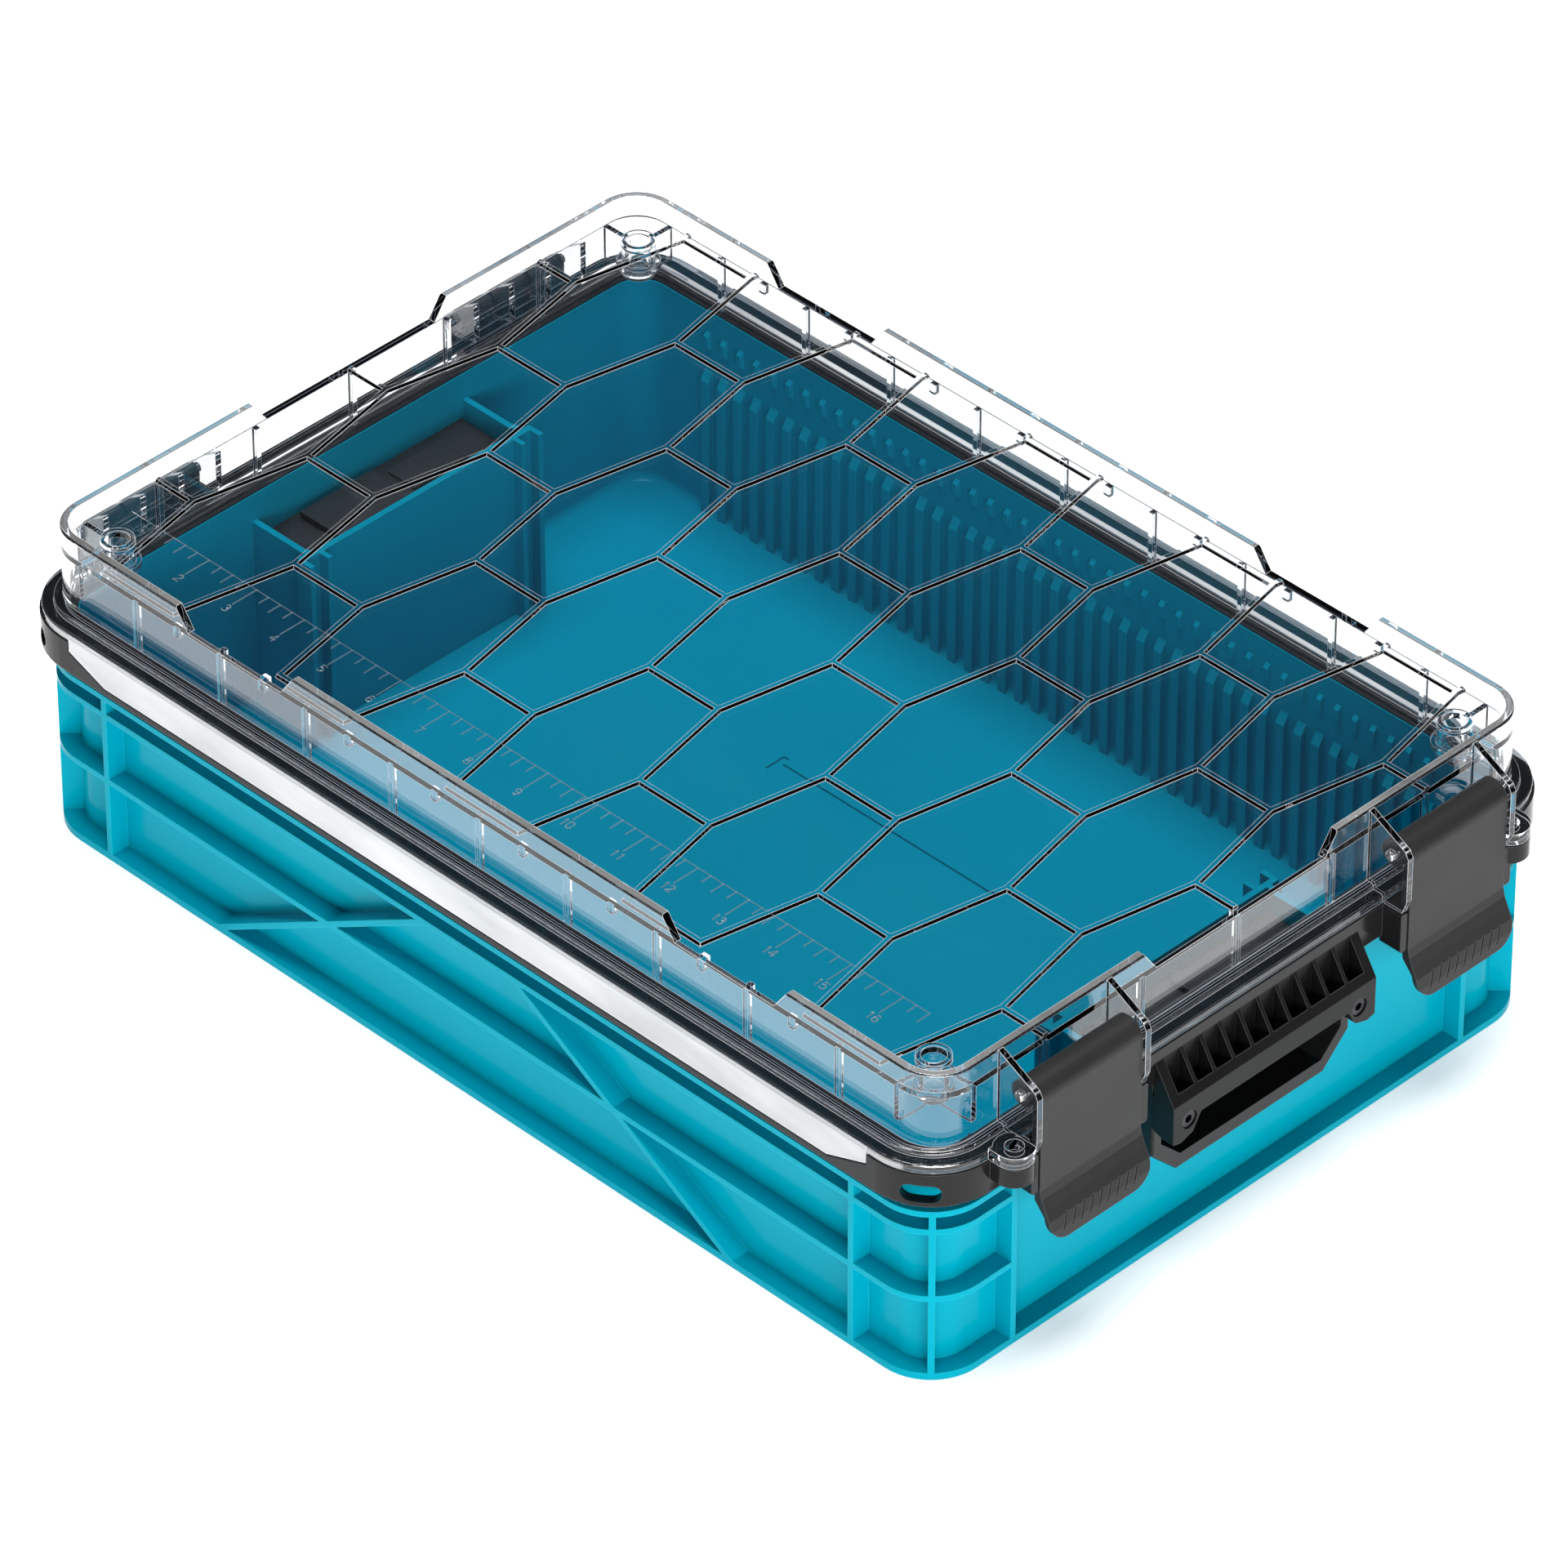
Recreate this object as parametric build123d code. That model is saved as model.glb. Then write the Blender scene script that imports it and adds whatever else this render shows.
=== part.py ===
from build123d import *
import os
from math import atan2, degrees, hypot, sin

# Clear-lidded storage box for fishing tackle. Millimetres, +Z up.
# Origin: centre of the flat underside of the tub. X runs along the short sides, Y along the
# long sides. The latches are at the front, -Y, and the lid's hinges at the rear, +Y.

# ---------------------------------------------------------------- driving dimensions
TUB_W = 315.0            # tub across its outer ribs, along X
TUB_L = 466.0            # tub across its outer ribs, along Y
TUB_R = 23.0             # corner radius of the outer ribs
TUB_H = 97.5             # top of the tub's wall
FLOOR = 3.0              # floor thickness
RIB_DEPTH = 8.0          # how far the outer ribs stand out of the wall
WALL = 2.8               # tub wall thickness
RIB_T = 2.5              # thickness of every outer rib
MID_RIB_Z = 36.0         # underside of the middle rib
UPPER_RIBS_Z = (66.5, 74.5)   # undersides of the two upper ribs
CORNER_RIB_X = 116.5     # upright ribs on the short sides
CORNER_RIB_Y = 193.0     # upright ribs on the long sides
SLANT_FOOT_Y = 133.5     # lower and upper ends of the slanted ribs on the long sides
SLANT_HEAD_Y = 23.0
SLOT_PITCH = 8.83        # divider slots along the long walls
SLOT_COUNT = 43

PITCH_X = 48.7           # columns of the lid's honeycomb
PITCH_Y = 45.0           # rows of the lid's honeycomb
HEX_SIDE = 35.4          # straight sides of the honeycomb, along Y

COLLAR_OUT = 5.0         # collar beyond the tub's ribs
COLLAR_Z = (83.0, 97.5)  # bottom and top of the collar
COLLAR_T = 4.4           # thickness of the collar's outer wall
COLLAR_TOP_T = 3.0       # thickness of the collar's top flange
LEDGE_DROP = 6.0         # underside of the tub's ledge, under the collar's flange, below TUB_H

LID_INSET_X = 5.15       # lid wall inside the tub's outline
LID_INSET_Y = 3.65
LID_R = 17.0             # corner radius of the lid wall
LID_WALL = 2.6
LID_FLANGE_OUT = 4.2     # lid flange beyond the tub's outline
PANEL_Z = (123.6, 126.0) # underside and top of the clear panel
RIM_TOP = 135.0          # top of the raised stacking rims
RIM_T = 3.2

FITTING_X = 94.0         # centres of latches and hinges, either side of the middle
FITTING_SPAN = 40.0      # half length of a cut that spans a latch or hinge
PIN_D = 4.0              # latch and hinge pins
RUN_GAP = 0.05           # radial clearance of a turning bore
LATCH_AXIS = (-240.0, 120.5)   # (Y, Z)
HINGE_AXIS = (242.5, 106.0)    # (Y, Z)
LATCH_HALF = 25.2        # half the latch's width
PIN_PROUD = 1.2          # how far a latch pin stands out of its ears
EAR_IN = 25.7            # inner and outer faces of the lid's ears, from the fitting's centre
EAR_OUT = 28.3

GRIP_HALF = 52.0         # half the handle grip's length
GRIP_SCREW_X = 43.8
GRIP_SCREW_Z = 68.3
GRIP_FRONT = 247.7       # |Y| of the grip's front face
FRAME_FRONT = 236.75     # |Y| of the hand-hole frame's front face

HALF_W = TUB_W / 2
HALF_L = TUB_L / 2
PANEL_PLANE_X = HALF_W - RIB_DEPTH      # outer face of the recessed long walls
PANEL_PLANE_Y = HALF_L - RIB_DEPTH      # outer face of the recessed short walls
INNER_X = PANEL_PLANE_X - WALL          # inner face of the long walls
INNER_Y = PANEL_PLANE_Y - WALL          # inner face of the short walls
COLLAR_FACE_Y = HALF_L + COLLAR_OUT
SIDES = (-1, 1)


# ---------------------------------------------------------------- helpers
def box(x, y, z):
    """A block given by its (low, high) limits on each axis."""
    size = [high - low for low, high in (x, y, z)]
    middle = [(high + low) / 2 for low, high in (x, y, z)]
    return Pos(*middle) * Box(*size)


def slab(width, length, radius, z):
    """A rounded rectangle centred on the origin, raised from z[0] to z[1]."""
    return extrude(Plane.XY.offset(z[0]) * RectangleRounded(width, length, radius), z[1] - z[0])


def outline(offset, z):
    """The tub's outline grown by offset, raised from z[0] to z[1]."""
    return slab(TUB_W + 2 * offset, TUB_L + 2 * offset, TUB_R + offset, z)


def ring(outer, inner, z):
    """A band that follows the tub's outline between two offsets."""
    return outline(outer, z) - outline(inner, z)


def lid_outline(inset, z):
    """The lid wall's outline shrunk by inset, raised from z[0] to z[1]."""
    width = TUB_W - 2 * LID_INSET_X - 2 * inset
    length = TUB_L - 2 * LID_INSET_Y - 2 * inset
    return slab(width, length, LID_R - inset, z)


def profile_yz(points, x):
    """A (Y, Z) outline swept along X between two limits."""
    face = Plane.YZ.offset(x[0]) * make_face(Polyline(*points, close=True))
    return extrude(face, x[1] - x[0])


def profile_xz(points, y):
    """An (X, Z) outline swept along Y between two limits."""
    plane = Plane(origin=(0, y[0], 0), x_dir=(1, 0, 0), z_dir=(0, -1, 0))
    return extrude(plane * make_face(Polyline(*points, close=True)), y[0] - y[1])


def rod_x(x, y, z, diameter):
    """A round bar along X between two limits."""
    bar = Cylinder(diameter / 2, x[1] - x[0], rotation=(0, 90, 0))
    return Pos((x[0] + x[1]) / 2, y, z) * bar


def rod_y(x, y, z, diameter):
    """A round bar along Y between two limits."""
    bar = Cylinder(diameter / 2, y[1] - y[0], rotation=(90, 0, 0))
    return Pos(x, (y[0] + y[1]) / 2, z) * bar


def rod_z(x, y, z, diameter):
    """A round bar along Z between two limits."""
    return Pos(x, y, (z[0] + z[1]) / 2) * Cylinder(diameter / 2, z[1] - z[0])


def round_level_edges(shape, z, amount, tolerance=0.02):
    """Round the level edges of a shape that lie at height z."""
    edges = [e for e in shape.edges() if abs(e.center().Z - z) < tolerance
             and abs(e.bounding_box().size.Z) < tolerance]
    return fillet(edges, amount)


def turned(shape, side):
    """The shape as it is at the front, or turned half round to the rear."""
    return shape if side < 0 else Rot(0, 0, 180) * shape


# ---------------------------------------------------------------- tub
SHORT_PANEL_X = CORNER_RIB_X - RIB_T / 2      # half width of the open panel on the short sides
FIN_X = 54.2                                  # hand pocket side fins
FIN_T = 2.5
POCKET_DEPTH = 29.0                           # end wall to bulkhead
BULKHEAD_Y = INNER_Y - POCKET_DEPTH           # outer face of the bulkhead
BULKHEAD_T = 2.5
BULKHEAD_TOP = 85.5
BULKHEAD_HALF = 59.5
DIVIDER_RIB = 5.0                             # depth of the divider ribs on the bulkhead
DIVIDER_RIB_T = 2.2
HAND_HALF = 46.5                              # hand hole in the collar's frame
HAND_Z = (42.0, 62.0)
HAND_CHAMFER = 10.0
TUB_HOLE_TOP = 74.0                           # top of the larger hole in the tub's wall behind it
TUB_HOLE_GROW = 1.5
FLOOR_FILLET = 4.0
FOOT_INSET = 25.0                             # raised middle of the underside
FOOT_RISE = 1.2
FOOT_BAR = 3.0                                # width of the bars left across the underside
GROOVE_HALF = 57.0                            # groove in the floor, with a cross at its rear end
GROOVE_W = 3.0
GROOVE_DEPTH = 1.0
CROSS_W = 10.0


def tub_outer_ribs():
    """Bands round the tub, upright ribs, corner ribs and the slanted ribs of the long sides."""
    solids = []
    bands = [MID_RIB_Z, *UPPER_RIBS_Z]
    open_panel = box((-SHORT_PANEL_X, SHORT_PANEL_X), (-HALF_L - 1, HALF_L + 1), (FLOOR, 90))
    for z in bands:
        solids.append(ring(0, -RIB_DEPTH, (z, z + RIB_T)) - open_panel)
    upright_z = (0, UPPER_RIBS_Z[1] + RIB_T)
    for sx in SIDES:
        for sy in SIDES:
            across = sorted((sx * PANEL_PLANE_X, sx * HALF_W))
            along = sorted((sy * PANEL_PLANE_Y, sy * HALF_L))
            near_y = (sy * CORNER_RIB_Y - RIB_T / 2, sy * CORNER_RIB_Y + RIB_T / 2)
            near_x = (sx * CORNER_RIB_X - RIB_T / 2, sx * CORNER_RIB_X + RIB_T / 2)
            solids.append(box(across, near_y, upright_z))
            solids.append(box(near_x, along, upright_z))
            corner = Pos(sx * (HALF_W - TUB_R), sy * (HALF_L - TUB_R), upright_z[1] / 2)
            fin = Pos(TUB_R - RIB_DEPTH / 2, 0, 0) * Box(RIB_DEPTH + 1, RIB_T, upright_z[1])
            outward = Rot(0, 0, degrees(atan2(sy, sx)))
            solids.append((corner * outward * fin) & outline(0, upright_z))
    low_z, high_z = FLOOR - 1, UPPER_RIBS_Z[0] + 1
    half = RIB_T / sin(atan2(high_z - low_z, SLANT_FOOT_Y - SLANT_HEAD_Y)) / 2
    for sx in SIDES:
        for sy in SIDES:
            points = [(sy * (SLANT_FOOT_Y + half), low_z), (sy * (SLANT_FOOT_Y - half), low_z),
                      (sy * (SLANT_HEAD_Y - half), high_z), (sy * (SLANT_HEAD_Y + half), high_z)]
            across = sorted((sx * PANEL_PLANE_X, sx * HALF_W))
            solids.append(profile_yz(points, across))
    return solids


def tub_slot_ribs():
    """Upright ribs inside the long walls that hold dividers, with a lug above each."""
    rib_w, rib_in, rib_top = 4.0, 2.6, 71.0
    lug_w, lug_in, lug_z = 2.4, 1.6, (80.0, 88.0)
    solids = []
    for k in range(SLOT_COUNT):
        y = (k - (SLOT_COUNT - 1) / 2) * SLOT_PITCH
        rib = [(INNER_X + 0.5, FLOOR - 0.5), (INNER_X - rib_in, FLOOR - 0.5),
               (INNER_X - rib_in, rib_top - 2 * rib_in), (INNER_X + 0.5, rib_top)]
        lug = [(INNER_X + 0.5, lug_z[0] - 0.5), (INNER_X - lug_in, lug_z[0] + lug_in),
               (INNER_X - lug_in, lug_z[1] - lug_in), (INNER_X + 0.5, lug_z[1] + 0.5)]
        for sx in SIDES:
            for shape, width in ((rib, rib_w), (lug, lug_w)):
                points = [(sx * x, z) for x, z in shape]
                solids.append(profile_xz(points, (y + width / 2, y - width / 2)))
    return solids


def tub_pockets():
    """Fins, bulkhead and divider ribs of the hand pocket at each end."""
    solids = []
    for sy in SIDES:
        wall = sy * (INNER_Y + 0.5)
        outer = sy * BULKHEAD_Y
        inner = sy * (BULKHEAD_Y - BULKHEAD_T)
        tip = sy * (BULKHEAD_Y - BULKHEAD_T - DIVIDER_RIB)
        height = (FLOOR - 0.5, BULKHEAD_TOP)
        solids.append(box((-BULKHEAD_HALF, BULKHEAD_HALF), sorted((inner, outer)), height))
        for sx in SIDES:
            fin = (sx * FIN_X - FIN_T / 2, sx * FIN_X + FIN_T / 2)
            solids.append(box(fin, sorted((outer, wall)), height))
            for side in SIDES:
                x = sx * FIN_X + side * SLOT_PITCH / 2
                rib = (x - DIVIDER_RIB_T / 2, x + DIVIDER_RIB_T / 2)
                solids.append(box(rib, sorted((inner, tip)), height))
    return solids


def hand_hole(half, z, chamfer, y):
    """A hand hole with its two lower corners cut off, swept along Y."""
    points = [(-half, z[1]), (-half, z[0] + chamfer), (-half + chamfer, z[0]),
              (half - chamfer, z[0]), (half, z[0] + chamfer), (half, z[1])]
    return profile_xz(points, y)


def underside_panels():
    """The shallow recesses of the underside, between a rim and a grid of bars."""
    deep = (-1, 2)
    panels = slab(TUB_W - 2 * FOOT_INSET, TUB_L - 2 * FOOT_INSET, 12, (-1, FOOT_RISE))
    for k in (-1, 1):
        middle = k * TUB_W / 6
        panels -= box((middle - FOOT_BAR / 2, middle + FOOT_BAR / 2), (-HALF_L, HALF_L), deep)
    for k in range(-2, 3):
        middle = k * TUB_L / 6
        panels -= box((-HALF_W, HALF_W), (middle - FOOT_BAR / 2, middle + FOOT_BAR / 2), deep)
    return panels


def make_tub():
    shell = outline(0, (0, FLOOR)) + outline(-RIB_DEPTH, (0, TUB_H))
    shell += ring(-0.6, -RIB_DEPTH - 0.5, (TUB_H - LEDGE_DROP, TUB_H - COLLAR_TOP_T))
    shell += tub_outer_ribs()
    cavity = outline(-RIB_DEPTH - WALL, (FLOOR, TUB_H + 1))
    shell -= round_level_edges(cavity, FLOOR, FLOOR_FILLET)
    shell += tub_slot_ribs()
    shell += tub_pockets()
    for sy in SIDES:
        along = sorted((sy * (HALF_L + 1), sy * (INNER_Y - 1)), reverse=True)
        height = (HAND_Z[0] - TUB_HOLE_GROW, TUB_HOLE_TOP)
        shell -= hand_hole(HAND_HALF + TUB_HOLE_GROW, height, HAND_CHAMFER, along)
    shell -= underside_panels()
    groove_z = (FLOOR - GROOVE_DEPTH, FLOOR + 1)
    groove_x = (FIN_X - GROOVE_W / 2, FIN_X + GROOVE_W / 2)
    cross_x = (FIN_X - CROSS_W / 2, FIN_X + CROSS_W / 2)
    shell -= box(groove_x, (-GROOVE_HALF, GROOVE_HALF), groove_z)
    shell -= box(cross_x, (GROOVE_HALF - GROOVE_W, GROOVE_HALF), groove_z)
    return shell


# ---------------------------------------------------------------- collar
POST_OUT = 29.0                      # outer face of a catch post, from the latch's centre
POST_FRONT = 247.0                   # |Y| of the posts' front faces
POST_Z = (80.0, 97.3)
CATCH_FRONT = 242.2                  # |Y| of the catch bar
CATCH_Z = (84.0, 91.0)
TAB_X = 127.0                        # padlock tabs, centre
TAB_Y = -242.3
TAB_R = 7.6
TAB_HOLE = 7.0
SKIRT_Z = (86.4, 93.5)               # skirt: lowest edge, and where its ends start to slope
SKIRT_HALF = (186.0, 205.0)          # skirt: half length at the bottom and at the top
SKIRT_GAP = 0.5
SKIRT_IN = 2.7                       # skirt's faces beyond the tub's outline
SKIRT_OUT = 4.9
TAB_Z = (89.5, 97.3)                 # the collar's padlock tab
FRAME_HALF = 51.0                    # hand-hole frame, half width and lowest edge
FRAME_LOW = 35.5
CORNER_SLOT = (15.0, 7.6)            # oblong slot through the collar at each corner
CORNER_SLOT_Z = 89.0
CORNER_SLOT_TURN = 36.0              # the way it faces, from the X axis
INSERT_D = 6.0                       # brass inserts behind the grip's screws
INSERT_LENGTH = 9.0
LEAF_SCREW_X = 22.0                  # hinge leaf screws, from the hinge's centre
LEAF_SCREW_Z = 90.0
LEAF_SCREW_D = 3.0
LEAF_SCREW_DEPTH = 3.4


def skirt_shape(grow, top, x):
    """The long trapezoid of a side skirt, grown all round by a clearance."""
    low, high = SKIRT_HALF
    points = [(-low - grow, SKIRT_Z[0] - grow), (low + grow, SKIRT_Z[0] - grow),
              (high + grow, SKIRT_Z[1] - grow), (high + grow, top),
              (-high - grow, top), (-high - grow, SKIRT_Z[1] - grow)]
    return profile_yz(points, x)


def hand_frame():
    """The front hand-hole frame, which hangs below the collar."""
    height = (FRAME_LOW, TUB_H - LEDGE_DROP)
    frame = hand_hole(FRAME_HALF, height, HAND_CHAMFER + 3, (-PANEL_PLANE_Y, -FRAME_FRONT))
    edges = [e for e in frame.edges() if abs(e.center().Y + FRAME_FRONT) < 0.01]
    return fillet(edges, 1.2)


def padlock_tab(sx, z):
    """A round-ended tab that reaches forward from the front face, without its hole."""
    tab = rod_z(sx * TAB_X, TAB_Y, z, 2 * TAB_R)
    across = sorted((sx * (TAB_X - 5), sx * (TAB_X + TAB_R)))
    return tab + box(across, (TAB_Y, -COLLAR_FACE_Y + 1), z)


def catch_posts():
    """Posts and catch bars that the two front latches close over."""
    solids = []
    for sx in SIDES:
        for side in SIDES:
            x = sorted((sx * FITTING_X + side * EAR_IN, sx * FITTING_X + side * POST_OUT))
            post = box(x, (-POST_FRONT, -COLLAR_FACE_Y + 1), POST_Z)
            post = fillet(post.edges().filter_by(Axis.Y), 1.2)
            solids.append(post)
        points = [(-COLLAR_FACE_Y + 1, CATCH_Z[0]), (-CATCH_FRONT, CATCH_Z[0]),
                  (-CATCH_FRONT, CATCH_Z[1] - 2), (-COLLAR_FACE_Y + 1, CATCH_Z[1] + 2)]
        width = (sx * FITTING_X - EAR_IN - 0.5, sx * FITTING_X + EAR_IN + 0.5)
        solids.append(profile_yz(points, width))
        solids.append(padlock_tab(sx, TAB_Z))
    return solids


def make_collar():
    body = ring(COLLAR_OUT, COLLAR_OUT - COLLAR_T, COLLAR_Z)
    body += ring(COLLAR_OUT, -RIB_DEPTH, (COLLAR_Z[1] - COLLAR_TOP_T, COLLAR_Z[1]))
    body = round_level_edges(body, COLLAR_Z[0], 0.8)
    for side in SIDES:
        body += turned(hand_frame(), side)
    body += catch_posts()
    for sx in SIDES:
        face = sx * (HALF_W + SKIRT_IN - 0.3)
        body -= skirt_shape(SKIRT_GAP, COLLAR_Z[1] + 1, sorted((face, sx * (HALF_W + 8))))
        body -= rod_z(sx * TAB_X, TAB_Y, (80, 99), TAB_HOLE)
        for sy in SIDES:
            slot = extrude(Plane.YZ.offset(TUB_R - 4) * SlotOverall(*CORNER_SLOT), 14)
            turn = sy * (CORNER_SLOT_TURN if sx > 0 else 180 - CORNER_SLOT_TURN)
            corner = Pos(sx * (HALF_W - TUB_R), sy * (HALF_L - TUB_R), CORNER_SLOT_Z)
            body -= corner * Rot(0, 0, turn) * slot
    for side in SIDES:
        hole = hand_hole(HAND_HALF, HAND_Z, HAND_CHAMFER, (-PANEL_PLANE_Y + 1, -FRAME_FRONT - 1))
        body -= turned(hole, side)
        deep = (-FRAME_FRONT - 1, -FRAME_FRONT + INSERT_LENGTH)
        for sx in SIDES:
            body -= turned(rod_y(sx * GRIP_SCREW_X, deep, GRIP_SCREW_Z, INSERT_D), side)
    deep = (COLLAR_FACE_Y - LEAF_SCREW_DEPTH, COLLAR_FACE_Y + 1)
    for sx in SIDES:
        for side in SIDES:
            x = sx * FITTING_X + side * LEAF_SCREW_X
            body -= rod_y(x, deep, LEAF_SCREW_Z, LEAF_SCREW_D)
    return body


# ---------------------------------------------------------------- gasket
GASKET_OUT = -5.0
GASKET_IN = -10.5
GASKET_BEAD = -7.6


def make_gasket():
    base = ring(GASKET_OUT, GASKET_IN, (TUB_H, TUB_H + 0.9))
    bead = ring(GASKET_BEAD + 1.5, GASKET_BEAD - 1.5, (TUB_H, TUB_H + 2.4))
    bead = round_level_edges(bead, TUB_H + 2.4, 1.3)
    return base + bead


# ---------------------------------------------------------------- handle grips
POCKETS = 10
POCKET_PITCH = 9.7
POCKET_W = 8.2
GRIP_BOSS_W = 14.0
GRIP_SCREW_D = 4.0
GRIP_HEAD_D = 7.0
GRIP_HEAD_DEPTH = 3.4


def make_grip():
    """The front grip: a sloped, pocketed bar with a screw boss at each end."""
    back = -COLLAR_FACE_Y
    front = -GRIP_FRONT
    points = [(back, 93.0), (front, 77.5), (front, 69.0), (front + 2.5, 67.5), (back, 69.0)]
    grip = profile_yz(points, (-GRIP_HALF, GRIP_HALF))
    side_view = [(-FRAME_FRONT, 93.0), (back, 93.0), (front, 77.5), (front, 59.0), (-FRAME_FRONT, 63.0)]
    envelope = profile_yz(side_view, (-GRIP_HALF, GRIP_HALF))
    boss_in = GRIP_HALF - GRIP_BOSS_W
    for sx in SIDES:
        front_view = [(GRIP_HALF, 78), (GRIP_HALF, 61), (GRIP_HALF - 4, 60), (boss_in + 4, 62),
                      (boss_in, 69), (boss_in, 78)]
        boss = profile_xz([(sx * x, z) for x, z in front_view], (-FRAME_FRONT, front))
        grip += boss & envelope
    scoop = [(back - 0.01, 101), (front + 1.6, 101), (front + 2.2, 79), (front + 3.2, 73),
             (back - 0.01, 73)]
    for k in range(POCKETS):
        x = (k - (POCKETS - 1) / 2) * POCKET_PITCH
        grip -= profile_yz(scoop, (x - POCKET_W / 2, x + POCKET_W / 2))
    for sx in SIDES:
        head = (front - 1, front + GRIP_HEAD_DEPTH)
        grip -= rod_y(sx * GRIP_SCREW_X, head, GRIP_SCREW_Z, GRIP_HEAD_D + 0.6)
        grip -= rod_y(sx * GRIP_SCREW_X, (front - 1, -FRAME_FRONT + 1), GRIP_SCREW_Z, GRIP_SCREW_D)
    return grip


def make_grip_screws():
    """Two socket-head screws of the front grip."""
    front = -GRIP_FRONT
    head = (front + 0.6, front + GRIP_HEAD_DEPTH)
    shank = (front + GRIP_HEAD_DEPTH - 0.4, -FRAME_FRONT + INSERT_LENGTH - 1)
    screws = []
    for sx in SIDES:
        screw = rod_y(sx * GRIP_SCREW_X, head, GRIP_SCREW_Z, GRIP_HEAD_D)
        screw += rod_y(sx * GRIP_SCREW_X, shank, GRIP_SCREW_Z, GRIP_SCREW_D)
        socket = Plane(origin=(sx * GRIP_SCREW_X, front + 0.5, GRIP_SCREW_Z), z_dir=(0, 1, 0))
        screw -= extrude(socket * RegularPolygon(1.8, 6), 2.0)
        screws.append(screw)
    return screws


def make_grip_inserts():
    """Two brass inserts in the collar that the front grip's screws thread into."""
    along = (-FRAME_FRONT, -FRAME_FRONT + INSERT_LENGTH)
    inserts = []
    for sx in SIDES:
        insert = rod_y(sx * GRIP_SCREW_X, along, GRIP_SCREW_Z, INSERT_D)
        insert -= rod_y(sx * GRIP_SCREW_X, (along[0] - 1, along[1] + 1), GRIP_SCREW_Z, GRIP_SCREW_D)
        inserts.append(insert)
    return inserts


# ---------------------------------------------------------------- hand pocket liners
LINER_HALF = 51.5
LINER_Z = (36.0, 77.5)
LINER_T = 2.2
SILL_DEPTH = 7.0
TALL_PAD_X = (-3.0, 34.0)     # the two raised pads on the hood's top
LOW_PAD_X = (-36.0, -8.0)


def make_liner():
    """The hood behind the front hand hole: top, two cheeks and a short sill."""
    y_out, y_in = -INNER_Y, -BULKHEAD_Y
    low, high = LINER_Z
    inside = LINER_HALF - LINER_T
    liner = box((-LINER_HALF, LINER_HALF), (y_out, y_in), LINER_Z)
    liner -= box((-inside, inside), (y_out - 1, y_in + 1), (low - 1, high - LINER_T))
    liner += box((-inside - 1, inside + 1), (y_out, y_out + SILL_DEPTH), (low, low + LINER_T))
    liner += box(TALL_PAD_X, (y_out + 3, y_in - 4), (high - 0.5, high + 3))
    liner += box(LOW_PAD_X, (y_out + 6, y_in - 8), (high - 0.5, high + 1.4))
    return liner


# ---------------------------------------------------------------- hinges
LEAF_HALF = 31.0
LEAF_T = 4.0
LEAF_Z = (84.0, 100.8)
LEAF_HEAD_D = 6.0
KNUCKLE_R = 4.6
GUSSETS = (-28.0, -9.5, 9.5, 28.0)       # centres of the lid's hinge gussets
GUSSET_T = 2.6
SIDE_GAP = 0.5


def make_leaf(centre):
    """A rear hinge leaf screwed to the collar, with a knuckle between each pair of gussets."""
    y, z = HINGE_AXIS
    back = COLLAR_FACE_Y
    leaf = box((centre - LEAF_HALF, centre + LEAF_HALF), (back, back + LEAF_T), LEAF_Z)
    leaf = fillet(leaf.edges().filter_by(Axis.Y), 3.0)
    for low, high in zip(GUSSETS[:-1], GUSSETS[1:]):
        x = (centre + low + GUSSET_T / 2 + SIDE_GAP, centre + high - GUSSET_T / 2 - SIDE_GAP)
        leaf += rod_x(x, y, z, 2 * KNUCKLE_R)
        leaf += box(x, (back + 0.1, y + KNUCKLE_R), (LEAF_Z[1] - 6, z))
    leaf -= rod_x((centre - FITTING_SPAN, centre + FITTING_SPAN), y, z, PIN_D)
    for side in SIDES:
        x = centre + side * LEAF_SCREW_X
        leaf -= rod_y(x, (back - 1, back + LEAF_T + 1), LEAF_SCREW_Z, LEAF_SCREW_D + 0.4)
        leaf -= rod_y(x, (back + LEAF_T - 2.2, back + LEAF_T + 1), LEAF_SCREW_Z, LEAF_HEAD_D + 0.4)
    return leaf


def make_leaf_screws(centre):
    """Two pan-head screws that hold a hinge leaf to the collar."""
    back = COLLAR_FACE_Y
    screws = []
    for side in SIDES:
        x = centre + side * LEAF_SCREW_X
        screw = rod_y(x, (back + LEAF_T - 2.2, back + LEAF_T - 0.2), LEAF_SCREW_Z, LEAF_HEAD_D)
        screw += rod_y(x, (back - LEAF_SCREW_DEPTH, back + LEAF_T - 2), LEAF_SCREW_Z, LEAF_SCREW_D)
        socket = Plane(origin=(x, back + LEAF_T, LEAF_SCREW_Z), z_dir=(0, -1, 0))
        screw -= extrude(socket * RegularPolygon(1.5, 6), 1.4)
        screws.append(screw)
    return screws


def make_hinge_pin(centre):
    y, z = HINGE_AXIS
    reach = GUSSETS[-1] + GUSSET_T / 2 + 2.0
    pin = rod_x((centre - reach, centre + reach), y, z, PIN_D)
    return chamfer(pin.edges().filter_by(GeomType.CIRCLE), 0.5)


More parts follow.
